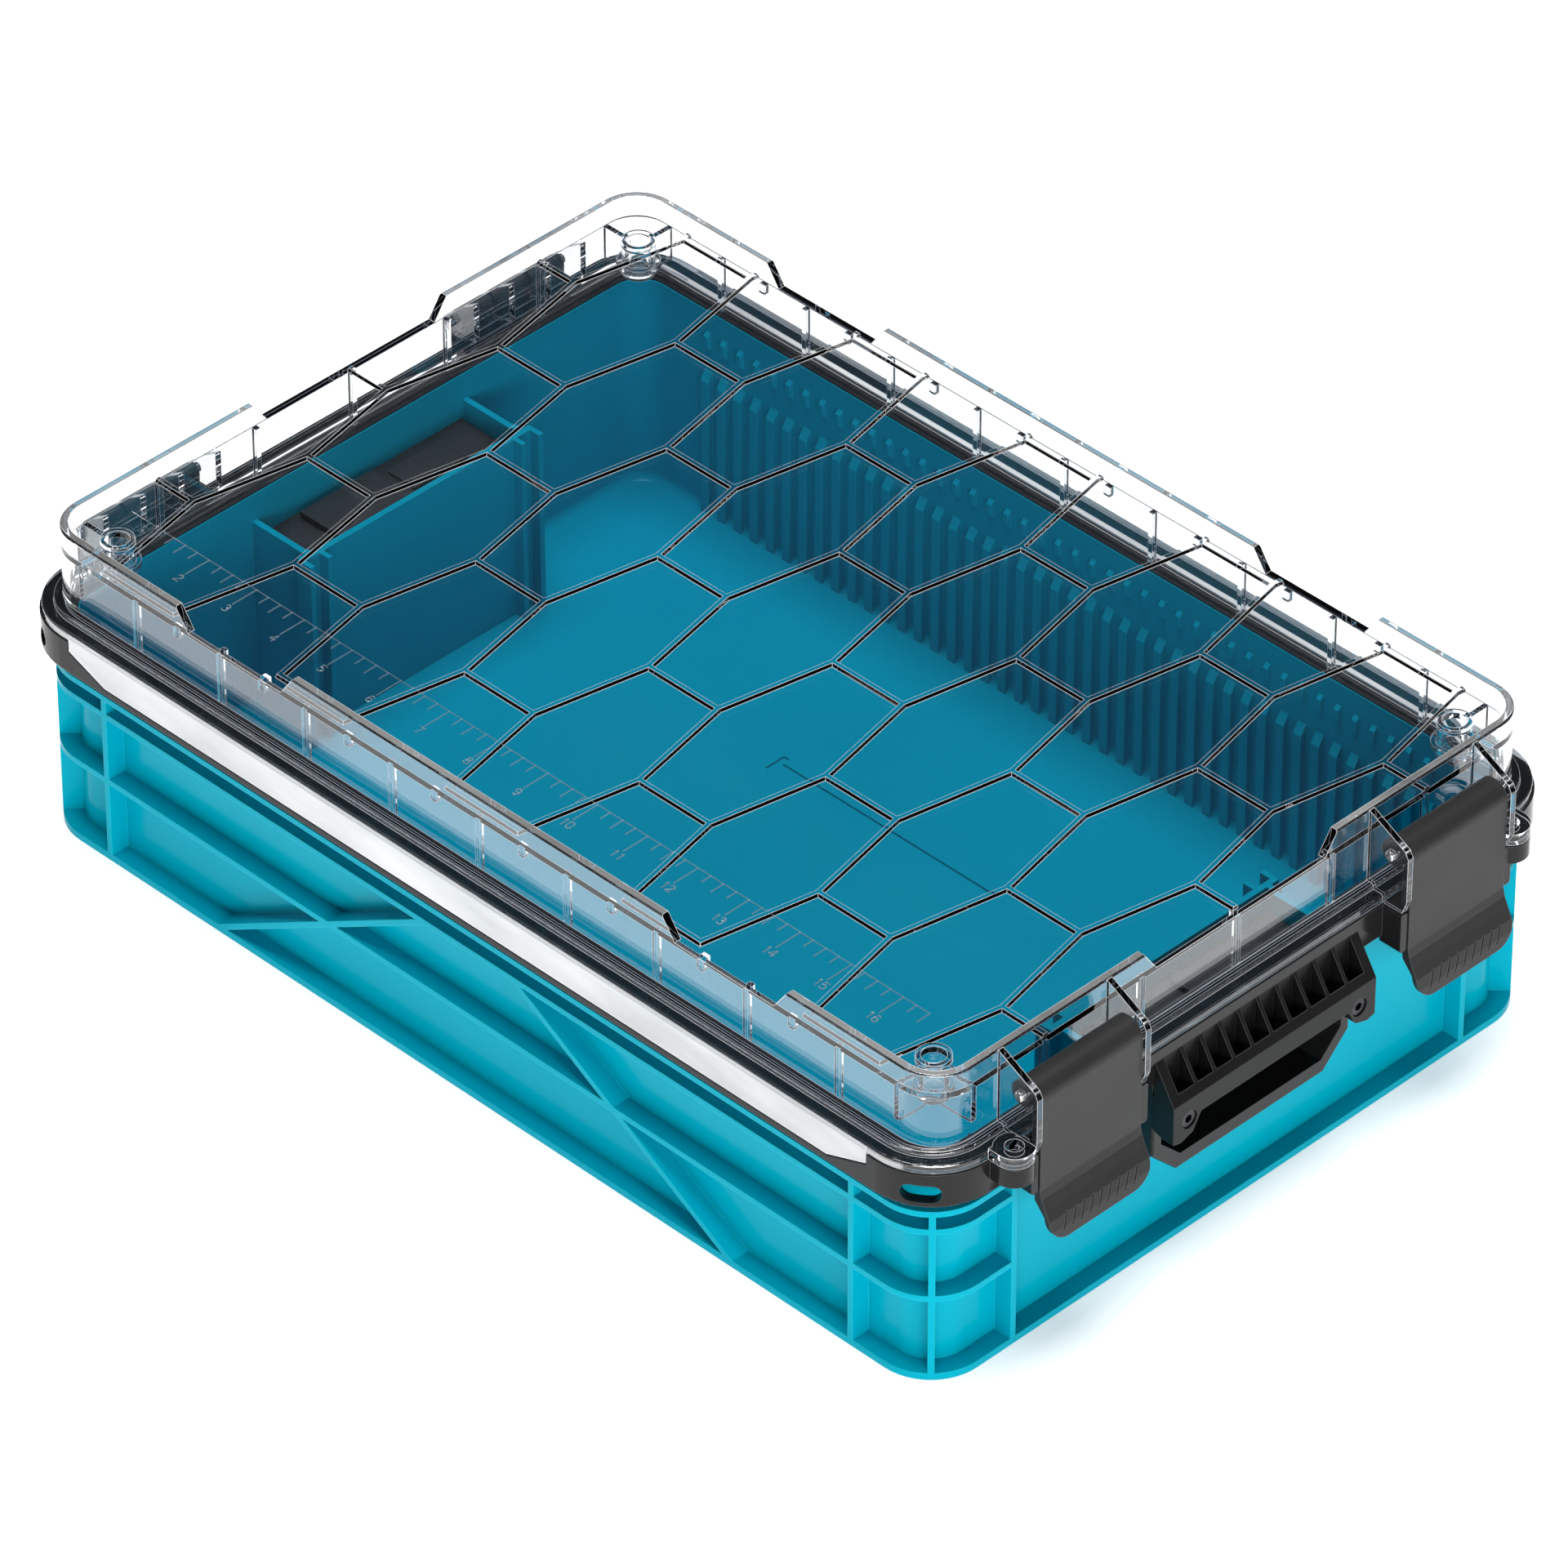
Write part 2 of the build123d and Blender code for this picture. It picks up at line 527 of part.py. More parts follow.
# ---------------------------------------------------------------- lid
RIM_GAP_SIDE = 125.5        # centre of the low stretches of rim on the long sides
RIM_GAP_HALF = 24.5
RIM_GAP_END = 43.0          # half length of the low stretch of rim on the short sides
RIM_SLOPE = 7.0
BOSS_X = 133.0
BOSS_Y = 209.0
BOSS_FLOOR = 113.0          # bottom of the blind socket in each boss
SOCKET_D = 9.4
FLANGE_Z = (97.8, 101.2)
SEAL_Z = 100.3              # underside of the lid over the gasket
STEP_Z = 103.4
HEX_FOOT = 3.4              # honeycomb ribs: width at the foot and the top, and height
HEX_TOP = 1.8
HEX_RISE = 1.3
WALL_RIB_T = 2.2            # ribs inside the lid's walls
STUB_W = 3.0
LID_TAB_TOP = 102.6
BOSS_D = 13.0
BOSS_DISC_D = 17.0
BOSS_LOW = 111.0
GUSSET_LOW = 109.0


def hex_ribs():
    """The raised honeycomb on the clear panel."""
    half = HEX_SIDE / 2
    edges = []
    for col in range(-3, 4):
        x = col * PITCH_X
        shift = 0.5 if col % 2 == 0 else 0
        for row in range(-6, 7):
            y = (row + shift) * 2 * PITCH_Y
            edges.append(((x, y - half), (x, y + half)))
            for sy in SIDES:
                edges.append(((x, y + sy * half), (x + PITCH_X, y + sy * (PITCH_Y - half))))
    reach_x = HALF_W + PITCH_X / 2
    reach_y = HALF_L + PITCH_Y / 2
    sink = 0.4
    section = Plane.YZ * make_face(Polyline((-HEX_FOOT / 2, -sink), (HEX_FOOT / 2, -sink),
                                            (HEX_TOP / 2, HEX_RISE), (-HEX_TOP / 2, HEX_RISE), close=True))
    pieces = []
    for (x0, y0), (x1, y1) in edges:
        middle = ((x0 + x1) / 2, (y0 + y1) / 2)
        if abs(middle[0]) > reach_x or abs(middle[1]) > reach_y:
            continue
        turn = Rot(0, 0, degrees(atan2(y1 - y0, x1 - x0)))
        reach = (hypot(x1 - x0, y1 - y0) + HEX_TOP) / 2
        pieces.append(Pos(*middle, PANEL_Z[1]) * turn * extrude(section, reach, both=True))
    net = pieces[0] + pieces[1:]
    return net & lid_outline(RIM_T - sink, (PANEL_Z[1] - 1, PANEL_Z[1] + HEX_RISE + 1))


def rim_gaps():
    """Wedges that cut the low stretches out of the raised rim."""
    top, low = RIM_TOP + 1, PANEL_Z[1]
    slope = RIM_SLOPE
    cuts = []
    for side in SIDES:
        for centre in (-RIM_GAP_SIDE, RIM_GAP_SIDE):
            points = [(centre - RIM_GAP_HALF, low), (centre + RIM_GAP_HALF, low),
                      (centre + RIM_GAP_HALF + slope, top), (centre - RIM_GAP_HALF - slope, top)]
            cuts.append(profile_yz(points, sorted((side * (HALF_W - 12), side * (HALF_W + 2)))))
        points = [(-RIM_GAP_END, low), (RIM_GAP_END, low),
                  (RIM_GAP_END + slope, top), (-RIM_GAP_END - slope, top)]
        y = sorted((side * (HALF_L - 12), side * (HALF_L + 2)), reverse=True)
        cuts.append(profile_xz(points, y))
    return cuts


def wall_ribs():
    """Upright ribs and short stubs inside the lid's walls."""
    solids = []
    inner_x = HALF_W - LID_INSET_X - LID_WALL
    inner_y = HALF_L - LID_INSET_Y - LID_WALL
    full = (SEAL_Z, PANEL_Z[0] + 0.5)
    stub = (PANEL_Z[0] - 4.0, PANEL_Z[0] + 0.5)
    for side in SIDES:
        for k in range(-4, 5):
            y = k * PITCH_Y
            x = sorted((side * (inner_x - WALL_RIB_T), side * (inner_x + 0.5)))
            solids.append(box(x, (y - WALL_RIB_T / 2, y + WALL_RIB_T / 2), full))
            if k < 4:
                middle = y + PITCH_Y / 2
                solids.append(box(x, (middle - STUB_W / 2, middle + STUB_W / 2), stub))
        for k in range(-2, 3):
            x = k * PITCH_X
            y = sorted((side * (inner_y - WALL_RIB_T), side * (inner_y + 0.5)))
            solids.append(box((x - WALL_RIB_T / 2, x + WALL_RIB_T / 2), y, full))
    return solids


def corner_bosses():
    """A hollow post in each corner of the lid, with a disc and two gussets to the walls."""
    solids = []
    for sx in SIDES:
        for sy in SIDES:
            x, y = sx * BOSS_X, sy * BOSS_Y
            solids.append(rod_z(x, y, (BOSS_LOW, PANEL_Z[1] + 1.4), BOSS_D))
            solids.append(rod_z(x, y, (114.5, 116.8), BOSS_DISC_D))
            reach_x = sorted((x, sx * (HALF_W - LID_INSET_X - 1)))
            reach_y = sorted((y, sy * (HALF_L - LID_INSET_Y - 1)))
            thick_x = (x - WALL_RIB_T / 2, x + WALL_RIB_T / 2)
            thick_y = (y - WALL_RIB_T / 2, y + WALL_RIB_T / 2)
            height = (GUSSET_LOW, PANEL_Z[0] + 0.5)
            solids.append(box(reach_x, thick_y, height))
            solids.append(box(thick_x, reach_y, height))
    return solids


def front_ears():
    """Pairs of ears that carry the latch pins."""
    wall = -(HALF_L - LID_INSET_Y) + 1
    points = [(wall, 131.5), (wall - 1, RIM_TOP), (-247.0, 125.8), (-248.5, 123.0), (-248.5, 103.5),
              (-246.5, SEAL_Z - 2.4), (-COLLAR_FACE_Y + 1, SEAL_Z - 2.4), (wall, 103.0)]
    solids = []
    for sx in SIDES:
        for side in SIDES:
            x = sorted((sx * FITTING_X + side * EAR_IN, sx * FITTING_X + side * EAR_OUT))
            solids.append(profile_yz(points, x))
    return solids


def rear_gussets():
    """Four gussets behind each hinge that turn on the hinge pins."""
    y, z = HINGE_AXIS
    wall = HALF_L - LID_INSET_Y - 1
    points = [(wall, 121.0), (y + 1.5, z + KNUCKLE_R), (y, z - KNUCKLE_R), (wall, z - KNUCKLE_R)]
    solids = []
    for sx in SIDES:
        for offset in GUSSETS:
            x = (sx * FITTING_X + offset - GUSSET_T / 2, sx * FITTING_X + offset + GUSSET_T / 2)
            solids.append(profile_yz(points, x) + rod_x(x, y, z, 2 * KNUCKLE_R))
    return solids


def make_lid():
    flange = ring(LID_FLANGE_OUT, -4.4, FLANGE_Z)
    flange = round_level_edges(flange, FLANGE_Z[1], 0.8)
    step = outline(-0.3, (SEAL_Z, STEP_Z))
    step = round_level_edges(step, STEP_Z, 1.2)
    wall = lid_outline(0, (SEAL_Z, RIM_TOP))
    wall = round_level_edges(wall, RIM_TOP, 1.0)
    lid = flange + step + wall
    lid -= lid_outline(LID_WALL, (SEAL_Z - 5, PANEL_Z[0]))
    lid -= lid_outline(RIM_T, (PANEL_Z[1], RIM_TOP + 1))
    for cut in rim_gaps():
        lid -= cut
    skirt_top = FLANGE_Z[1] - 0.9
    for sx in SIDES:
        outer = sx * (HALF_W + SKIRT_OUT)
        lid += skirt_shape(0, skirt_top, sorted((sx * (HALF_W + SKIRT_IN), outer)))
        lid += box(sorted((sx * (HALF_W + 1), outer)), (-SKIRT_HALF[1], SKIRT_HALF[1]),
                   (FLANGE_Z[0], skirt_top))
        lid += padlock_tab(sx, (FLANGE_Z[0], LID_TAB_TOP))
    lid += wall_ribs()
    lid += corner_bosses()
    lid += front_ears()
    lid += rear_gussets()
    lid += hex_ribs()
    for sx in SIDES:
        lid -= rod_z(sx * TAB_X, TAB_Y, (95, 105), TAB_HOLE)
        for sy in SIDES:
            lid -= rod_z(sx * BOSS_X, sy * BOSS_Y, (BOSS_FLOOR, PANEL_Z[1] + 3), SOCKET_D)
        centre = sx * FITTING_X
        bore = (centre - FITTING_SPAN, centre + FITTING_SPAN)
        lid -= rod_x(bore, *LATCH_AXIS, PIN_D)
        lid -= rod_x(bore, *HINGE_AXIS, PIN_D + 2 * RUN_GAP)
    return lid


# ---------------------------------------------------------------- latches
LATCH_R = 7.5
LATCH_T = 2.8
LATCH_TOP = 5.5             # height of the latch's rounded top above its pin
LATCH_LOW = 59.0
HOOK_Z = (80.0, 83.7)
HOOK_BACK = -239.4          # Y of the hook's rear face
LATCH_CORNER_R = 9.0
THUMB_BARS = 9              # plain slanted bars cut into the finger tip
THUMB_PITCH = 4.4
THUMB_BAR = (0.9, 1.4, 7.0) # width, twice the depth, length
THUMB_SLANT = 24.0
THUMB_LEAN = -13.0          # lean of the finger tip's face
THUMB_AT = (5.3, 65.6)      # middle of the bars: in front of the plate, and height


def make_latch(centre):
    """A latch: a knuckle on the pin, a flat plate, a flared finger tip and a hook behind."""
    y, z = LATCH_AXIS
    front = y - LATCH_R
    back = front + LATCH_T
    x = (centre - LATCH_HALF, centre + LATCH_HALF)
    points = [(y, z + LATCH_TOP), (front, z + LATCH_TOP), (front, 80.0), (front - 0.8, 76.5),
              (front - 2.6, 72.5), (front - 4.6, 68.5), (front - 5.7, 64.0), (front - 6.0, LATCH_LOW),
              (front - 3.6, LATCH_LOW), (front - 3.3, 64.4), (front - 2.2, 69.4), (back - 0.2, 75.0),
              (back, 79.0), (back, z), (y, z)]
    plate = profile_yz(points, x)
    nose = [e for e in plate.edges().filter_by(Axis.X)
            if abs(e.center().Y - front) < 0.01 and abs(e.center().Z - z - LATCH_TOP) < 0.01]
    plate = fillet(nose, LATCH_R - 1.0)
    plate += rod_x(x, y, z, 2 * LATCH_TOP)
    plate += box(x, (back - 0.5, HOOK_BACK), HOOK_Z)
    top = z + 20
    face = Plane(origin=(centre, front - 15, (top + LATCH_LOW) / 2), x_dir=(1, 0, 0), z_dir=(0, 1, 0))
    keep = face * RectangleRounded(2 * LATCH_HALF, top - LATCH_LOW, LATCH_CORNER_R)
    plate = plate & extrude(keep, 40)
    for k in range(THUMB_BARS):
        at = centre + (k - (THUMB_BARS - 1) / 2) * THUMB_PITCH
        place = Pos(at, front - THUMB_AT[0], THUMB_AT[1]) * Rot(THUMB_LEAN, THUMB_SLANT, 0)
        plate -= place * Box(*THUMB_BAR)
    plate -= rod_x((x[0] - 1, x[1] + 1), y, z, PIN_D + 2 * RUN_GAP)
    return plate


def make_latch_pin(centre):
    y, z = LATCH_AXIS
    reach = EAR_OUT + PIN_PROUD
    pin = rod_x((centre - reach, centre + reach), y, z, PIN_D)
    return chamfer(pin.edges().filter_by(GeomType.CIRCLE), 0.5)


# ---------------------------------------------------------------- write the nodes
def write(name, shape):
    solids = shape if isinstance(shape, list) else shape.solids()
    item = solids[0] if len(solids) == 1 else Compound(children=list(solids))
    export_step(item, f"parts/{name}.step")


def main():
    os.makedirs("parts", exist_ok=True)
    write("tub", make_tub())
    write("collar", make_collar())
    write("gasket", make_gasket())
    write("lid", make_lid())
    for name, side in (("front", -1), ("rear", 1)):
        write(f"{name}_grip", turned(make_grip(), side))
        write(f"{name}_grip_screws", [turned(s, side) for s in make_grip_screws()])
        write(f"{name}_grip_inserts", [turned(s, side) for s in make_grip_inserts()])
        write(f"{name}_pocket_liner", turned(make_liner(), side))
    for name, side in (("left", -1), ("right", 1)):
        centre = side * FITTING_X
        write(f"{name}_hinge_leaf", make_leaf(centre))
        write(f"{name}_hinge_screws", make_leaf_screws(centre))
        write(f"{name}_hinge_pin", make_hinge_pin(centre))
        write(f"{name}_latch", make_latch(centre))
        write(f"{name}_latch_pin", make_latch_pin(centre))


main()
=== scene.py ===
"""Looks of the fishing tackle box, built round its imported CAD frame. Metres, +Z up, latches at -Y."""
import math

import bmesh
import bpy
from mathutils import Matrix, Vector


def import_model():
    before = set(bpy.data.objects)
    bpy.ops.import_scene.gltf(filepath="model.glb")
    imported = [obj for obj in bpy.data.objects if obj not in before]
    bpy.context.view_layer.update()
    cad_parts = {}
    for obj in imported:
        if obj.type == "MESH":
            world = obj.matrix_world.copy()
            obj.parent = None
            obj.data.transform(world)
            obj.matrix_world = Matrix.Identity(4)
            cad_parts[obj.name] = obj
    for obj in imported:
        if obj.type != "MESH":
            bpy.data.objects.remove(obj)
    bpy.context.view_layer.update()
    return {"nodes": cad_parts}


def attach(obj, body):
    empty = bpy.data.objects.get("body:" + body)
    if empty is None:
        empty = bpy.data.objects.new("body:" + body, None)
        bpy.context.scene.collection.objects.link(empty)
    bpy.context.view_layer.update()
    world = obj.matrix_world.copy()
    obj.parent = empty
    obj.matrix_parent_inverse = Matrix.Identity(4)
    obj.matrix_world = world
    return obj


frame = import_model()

NODES = frame["nodes"]
MM = 0.001


# ---------------------------------------------------------------- node helpers
class Nodes:
    """A material's node tree, with short calls that add and link nodes."""

    def __init__(self, name):
        self.material = bpy.data.materials.new(name)
        self.material.use_nodes = True
        self.tree = self.material.node_tree
        self.tree.nodes.clear()
        self.output = self.add("ShaderNodeOutputMaterial")
        self.place = self.add("ShaderNodeTexCoord").outputs["Object"]

    def add(self, kind, **settings):
        node = self.tree.nodes.new(kind)
        for key, value in settings.items():
            setattr(node, key, value)
        return node

    def put(self, socket, value):
        """Links a socket, or sets a plain value."""
        if isinstance(value, bpy.types.NodeSocket):
            self.tree.links.new(value, socket)
        else:
            socket.default_value = value

    def noise(self, scale, detail=2.0, roughness=0.5, place=None, stretch=None):
        node = self.add("ShaderNodeTexNoise")
        node.inputs["Scale"].default_value = scale
        node.inputs["Detail"].default_value = detail
        node.inputs["Roughness"].default_value = roughness
        source = place or self.place
        if stretch:
            mapping = self.add("ShaderNodeMapping")
            mapping.inputs["Scale"].default_value = stretch
            self.put(mapping.inputs["Vector"], source)
            source = mapping.outputs["Vector"]
        self.put(node.inputs["Vector"], source)
        return node.outputs["Fac"]

    def span(self, value, low, high, out_low, out_high):
        """Maps value from low..high to out_low..out_high, clamped."""
        node = self.add("ShaderNodeMapRange")
        self.put(node.inputs["Value"], value)
        for key, number in (("From Min", low), ("From Max", high), ("To Min", out_low), ("To Max", out_high)):
            self.put(node.inputs[key], number)
        return node.outputs["Result"]

    def math(self, operation, a, b=0.0):
        node = self.add("ShaderNodeMath", operation=operation)
        self.put(node.inputs[0], a)
        self.put(node.inputs[1], b)
        return node.outputs[0]

    def mix(self, factor, a, b, blend="MIX"):
        node = self.add("ShaderNodeMix", data_type="RGBA", blend_type=blend)
        self.put(node.inputs[0], factor)
        self.put(node.inputs[6], a)
        self.put(node.inputs[7], b)
        return node.outputs[2]

    def edges(self, radius, samples=6):
        """1 on an edge that is rounded at this radius, 0 on open faces, with the rounded normal."""
        bevel = self.add("ShaderNodeBevel", samples=samples)
        bevel.inputs["Radius"].default_value = radius
        face = self.add("ShaderNodeNewGeometry").outputs["Normal"]
        dot = self.add("ShaderNodeVectorMath", operation="DOT_PRODUCT")
        self.put(dot.inputs[0], bevel.outputs[0])
        self.put(dot.inputs[1], face)
        return self.span(dot.outputs["Value"], 0.998, 0.90, 0.0, 1.0), bevel.outputs[0]

    def bump(self, height, distance, strength=1.0, normal=None):
        node = self.add("ShaderNodeBump")
        node.inputs["Strength"].default_value = strength
        node.inputs["Distance"].default_value = distance
        self.put(node.inputs["Height"], height)
        if normal is not None:
            self.put(node.inputs["Normal"], normal)
        return node.outputs[0]

    def shader(self, **inputs):
        node = self.add("ShaderNodeBsdfPrincipled")
        for key, value in inputs.items():
            self.put(node.inputs[key.replace("_", " ")], value)
        return node

    def finish(self, shader):
        self.put(self.output.inputs["Surface"], shader)
        return self.material


def rgb(*values):
    return (*values, 1.0)


# ---------------------------------------------------------------- materials
EDGE_GLINT = 0.9                         # strength of the painted highlights on the lid's edges, ruler and rim tops, and of the painted reflection on the side skirts
MARK_GLINT = 0.14
RIM_GLINT = 0.24
SKIRT_REFLECTION = 0.62
RIM_BAND = (130.0 * MM, 131.0 * MM)     # heights over which the rim tops begin
SKIRT_BAND = (159.4 * MM, 160.0 * MM)   # distance from the middle at which the side skirts begin
SKIRT_TOP = (99.5 * MM, 101.0 * MM)     # heights over which they end
CLEAR_EDGE = 0.32 * MM                  # radius of the clear plastic's edges that get a painted highlight
CLEAR_WAVE = 0.012 * MM                 # depth of the faint mould flow
CLEAR_HAZE = 0.012                      # highest roughness
CLEAR_THROUGH = (0.66, 0.705, 0.768)    # what one surface lets through from the lamps


def moulded(name, base, pale, highlight_colour, rough, grain, grain_depth, specular=0.5, edge_radius=0.45 * MM):
    """Injection-moulded plastic: faint colour drift, fine surface grain, and edges painted a lighter colour
    as a painted highlight.
    """
    n = Nodes(name)
    drift = n.span(n.noise(9.0, 3.0), 0.35, 0.65, 0.0, 1.0)
    flow = n.noise(26.0, 2.0, stretch=(1.0, 0.25, 2.2))
    colour = n.mix(n.math("MULTIPLY", drift, 0.55), rgb(*base), rgb(*pale))
    # Painted highlight: edges found by the bevel are painted towards the lighter highlight colour.
    edge_highlight, rounded = n.edges(edge_radius)
    colour = n.mix(n.math("MULTIPLY", edge_highlight, 0.75), colour, rgb(*highlight_colour))
    fine = n.noise(grain, 3.0, 0.6)
    roughness = n.span(n.math("ADD", n.math("MULTIPLY", flow, 0.6), n.math("MULTIPLY", fine, 0.4)),
                       0.3, 0.7, rough * 0.82, rough * 1.2)
    normal = n.bump(fine, grain_depth, normal=rounded)
    body = n.shader(Base_Color=colour, Roughness=roughness, Normal=normal)
    body.inputs["Specular IOR Level"].default_value = specular
    return n.finish(body.outputs[0])


def clear(name, tint, painted_edge_glint, ior=1.58):
    """Clear polycarbonate with painted highlights on its edges and rim tops and a painted reflection on its
    side skirts, all painted as pale diffuse patches. Lamps shine straight through.
    """
    n = Nodes(name)
    haze = n.span(n.noise(60.0, 3.0), 0.45, 0.8, 0.0, CLEAR_HAZE)
    edge_highlight = n.edges(CLEAR_EDGE)[0]
    normal = n.bump(n.noise(14.0, 1.0, stretch=(1.0, 0.35, 1.0)), CLEAR_WAVE)
    colour = n.mix(n.span(n.noise(7.0), 0.35, 0.65, 0.0, 1.0), rgb(*tint), rgb(1.0, 1.0, 1.0))
    place = n.add("ShaderNodeSeparateXYZ")
    n.put(place.inputs[0], n.place)
    face = n.add("ShaderNodeSeparateXYZ")
    n.put(face.inputs[0], n.add("ShaderNodeTexCoord").outputs["Normal"])
    # Painted highlight on the upward-facing rim tops and painted reflection on the side skirts, broken up by
    # noise; the edges get a painted highlight as well.
    glint_variation = n.span(n.noise(34.0, 3.0, stretch=(1.0, 0.3, 1.0)), 0.35, 0.65, 0.55, 1.0)
    level = n.span(face.outputs["Z"], 0.9, 0.98, 0.0, 1.0)
    rim = n.math("MULTIPLY", level, n.span(place.outputs["Z"], *RIM_BAND, 0.0, RIM_GLINT))
    side = n.span(n.math("ABSOLUTE", place.outputs["X"]), *SKIRT_BAND, 0.0, SKIRT_REFLECTION)
    low = n.span(place.outputs["Z"], *SKIRT_TOP, 1.0, 0.0)
    skirt = n.math("MULTIPLY", side, low)
    pale = n.math("MULTIPLY", n.math("MAXIMUM", rim, skirt), glint_variation)
    pale = n.math("MAXIMUM", pale, n.math("MULTIPLY", edge_highlight, painted_edge_glint))
    body = n.shader(Base_Color=colour, Roughness=haze, Normal=normal)
    body.inputs["IOR"].default_value = ior
    n.put(body.inputs["Transmission Weight"], n.math("SUBTRACT", 1.0, pale))
    through = n.add("ShaderNodeBsdfTransparent")
    through.inputs["Color"].default_value = rgb(*CLEAR_THROUGH)
    path = n.add("ShaderNodeLightPath")
    soft = n.math("MAXIMUM", path.outputs["Is Shadow Ray"], path.outputs["Is Diffuse Ray"])
    mix = n.add("ShaderNodeMixShader")
    n.put(mix.inputs[0], soft)
    n.put(mix.inputs[1], body.outputs[0])
    n.put(mix.inputs[2], through.outputs[0])
    return n.finish(mix.outputs[0])


def metal(name, base, rough, stretch, worn=0.3):
    """Drawn or turned metal: fine lines along one axis and a little tarnish."""
    n = Nodes(name)
    lines = n.noise(900.0, 2.0, 0.7, stretch=stretch)
    spots = n.span(n.noise(160.0, 4.0, 0.6), 0.45, 0.8, 0.0, worn)
    darker = tuple(value * 0.55 for value in base)
    # Painted highlight: edges are painted 30% lighter than the metal.
    edge_highlight, rounded = n.edges(0.2 * MM, 4)
    colour = n.mix(spots, rgb(*base), rgb(*darker))
    colour = n.mix(n.math("MULTIPLY", edge_highlight, 0.5), colour, rgb(*[min(1.0, v * 1.3) for v in base]))
    roughness = n.span(lines, 0.3, 0.7, rough * 0.7, rough * 1.3)
    body = n.shader(Base_Color=colour, Roughness=roughness, Metallic=1.0,
                    Normal=n.bump(lines, 0.01 * MM, normal=rounded))
    return n.finish(body.outputs[0])


# The fourth colour given to each plastic is its painted edge highlight.
TUB = moulded("tub_polypropylene", (0.0, 0.36, 0.485), (0.0, 0.40, 0.52), (0.01, 0.56, 0.66),
              0.16, 2600.0, 0.006 * MM, specular=0.05)
COLLAR = moulded("collar_nylon", (0.010, 0.010, 0.0105), (0.014, 0.014, 0.0145), (0.06, 0.06, 0.062),
                 0.15, 3000.0, 0.005 * MM, specular=0.2)
GRIP = moulded("grip_nylon", (0.006, 0.0062, 0.0064), (0.009, 0.0092, 0.0095), (0.055, 0.055, 0.057),
               0.36, 3400.0, 0.008 * MM, specular=0.14)
LATCH = moulded("latch_nylon", (0.020, 0.020, 0.0204), (0.025, 0.025, 0.0255), (0.09, 0.09, 0.093),
                0.38, 3600.0, 0.010 * MM, specular=0.2)
LINER = moulded("liner_nylon", (0.010, 0.010, 0.011), (0.015, 0.015, 0.016), (0.05, 0.05, 0.052),
                0.38, 3000.0, 0.010 * MM)
SEAL = moulded("seal_rubber", (0.010, 0.010, 0.011), (0.018, 0.018, 0.019), (0.05, 0.05, 0.052),
               0.34, 1800.0, 0.012 * MM, edge_radius=0.25 * MM)
CLEAR = clear("lid_polycarbonate", (0.975, 0.985, 0.985), EDGE_GLINT)
CLEAR_MARKS = clear("ruler_polycarbonate", (0.80, 0.86, 0.88), MARK_GLINT)
STEEL = metal("pin_steel", (0.62, 0.62, 0.63), 0.24, (0.05, 1.0, 1.0))
BLACK_STEEL = metal("screw_black_oxide", (0.045, 0.045, 0.05), 0.36, (1.0, 0.2, 1.0), worn=0.6)
BRASS = metal("insert_brass", (0.70, 0.50, 0.22), 0.30, (1.0, 0.2, 1.0))

FINISH = {"tub": TUB, "collar": COLLAR, "gasket": SEAL, "lid": CLEAR}
for end in ("front", "rear"):
    FINISH[end + "_grip"] = GRIP
    FINISH[end + "_grip_screws"] = BLACK_STEEL
    FINISH[end + "_grip_inserts"] = BRASS
    FINISH[end + "_pocket_liner"] = LINER
for side in ("left", "right"):
    FINISH[side + "_hinge_leaf"] = LINER
    FINISH[side + "_hinge_screws"] = BLACK_STEEL
    FINISH[side + "_hinge_pin"] = STEEL
    FINISH[side + "_latch"] = LATCH
    FINISH[side + "_latch_pin"] = STEEL

for name, material in FINISH.items():
    for slot in NODES[name].material_slots:
        slot.material = material


# ---------------------------------------------------------------- mesh helpers
def block(bm, centre, size, turn=0.0):
    """A small box in a bmesh, turned about Z."""
    place = Matrix.Translation(centre) @ Matrix.Rotation(turn, 4, "Z") @ Matrix.Diagonal((*size, 1.0))
    bmesh.ops.create_cube(bm, size=1.0, matrix=place)


def stroke(bm, a, b, width, low, high):
    """A raised line between two points on a level face."""
    a, b = Vector(a), Vector(b)
    run = b - a
    centre = (*((a + b) / 2), (low + high) / 2)
    block(bm, centre, (run.length + width * 0.6, width, high - low), math.atan2(run.y, run.x))


def piece(name, bm, material, body):
    mesh = bpy.data.meshes.new(name)
    bm.normal_update()
    bm.to_mesh(mesh)
    bm.free()
    obj = bpy.data.objects.new(name, mesh)
    bpy.context.scene.collection.objects.link(obj)
    obj.data.materials.append(material)
    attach(obj, body)
    return obj


